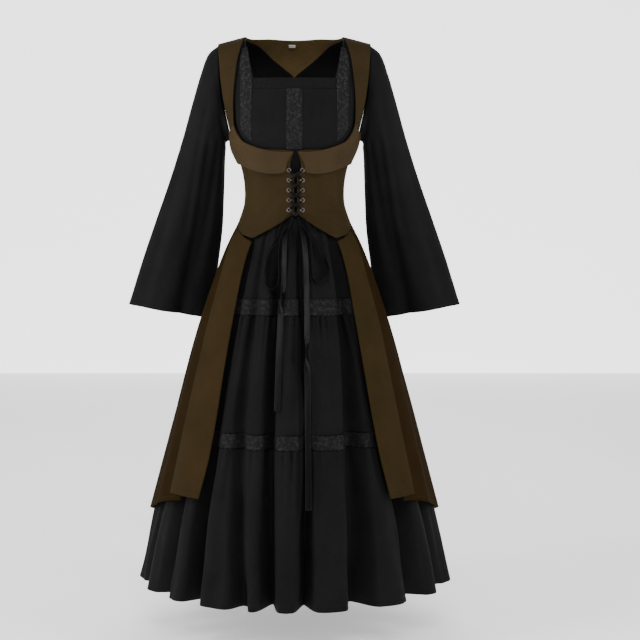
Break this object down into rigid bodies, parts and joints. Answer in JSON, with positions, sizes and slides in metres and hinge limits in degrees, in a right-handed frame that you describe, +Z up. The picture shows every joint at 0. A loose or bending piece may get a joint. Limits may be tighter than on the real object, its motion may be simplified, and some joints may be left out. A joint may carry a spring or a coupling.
{
  "type": "medieval gown",
  "caption": "Worn hollow medieval gown: bell-sleeved black dress with a tiered, lace-banded skirt under a laced brown overdress open at the front.",
  "frame": {"origin": "middle of the shoulder line, where the wearer holds the gown up", "axes": "+Z up towards the neck, -Y the gown's front, +X across to the sleeve on the viewer's right"},
  "size_m": [0.8158, 0.6748, 1.2679],
  "materials": {
    "black_cloth": "matte woven",
    "black_lace": "matte embroidered lace",
    "brown_cloth": "matte twill",
    "satin_ribbon": "satin",
    "aged_silver": "aged",
    "white_label": "woven tape"
  },
  "bodies": {
    "root": {"dress_front": "black_cloth", "dress_back": "black_cloth", "sleeve_left": "black_cloth", "sleeve_right": "black_cloth", "skirt_tier_1": "black_cloth", "skirt_tier_2": "black_cloth", "skirt_tier_3": "black_cloth", "skirt_lace_upper": "black_lace", "skirt_lace_lower": "black_lace", "bodice_lace_left": "black_lace", "bodice_lace_right": "black_lace", "bodice_lace_centre": "black_lace", "neck_band": "black_lace", "vest_front_left": "brown_cloth", "vest_front_right": "brown_cloth", "vest_back": "brown_cloth", "vest_collar_left": "brown_cloth", "vest_collar_right": "brown_cloth", "overskirt_strip_left": "brown_cloth", "overskirt_strip_right": "brown_cloth", "overskirt_panel_left": "brown_cloth", "overskirt_panel_right": "brown_cloth", "eyelet_left_1": "aged_silver", "eyelet_left_2": "aged_silver", "eyelet_left_3": "aged_silver", "eyelet_left_4": "aged_silver", "eyelet_left_5": "aged_silver", "eyelet_right_1": "aged_silver", "eyelet_right_2": "aged_silver", "eyelet_right_3": "aged_silver", "eyelet_right_4": "aged_silver", "eyelet_right_5": "aged_silver", "lacing_1": "satin_ribbon", "lacing_2": "satin_ribbon", "lacing_3": "satin_ribbon", "lacing_4": "satin_ribbon", "lacing_5": "satin_ribbon", "lacing_6": "satin_ribbon", "lacing_7": "satin_ribbon", "lacing_8": "satin_ribbon", "bow_knot": "satin_ribbon", "bow_loop_left": "satin_ribbon", "bow_loop_right": "satin_ribbon", "ribbon_end_left": "satin_ribbon", "ribbon_end_right": "satin_ribbon", "neck_label": "white_label"}
  },
  "joints": []
}
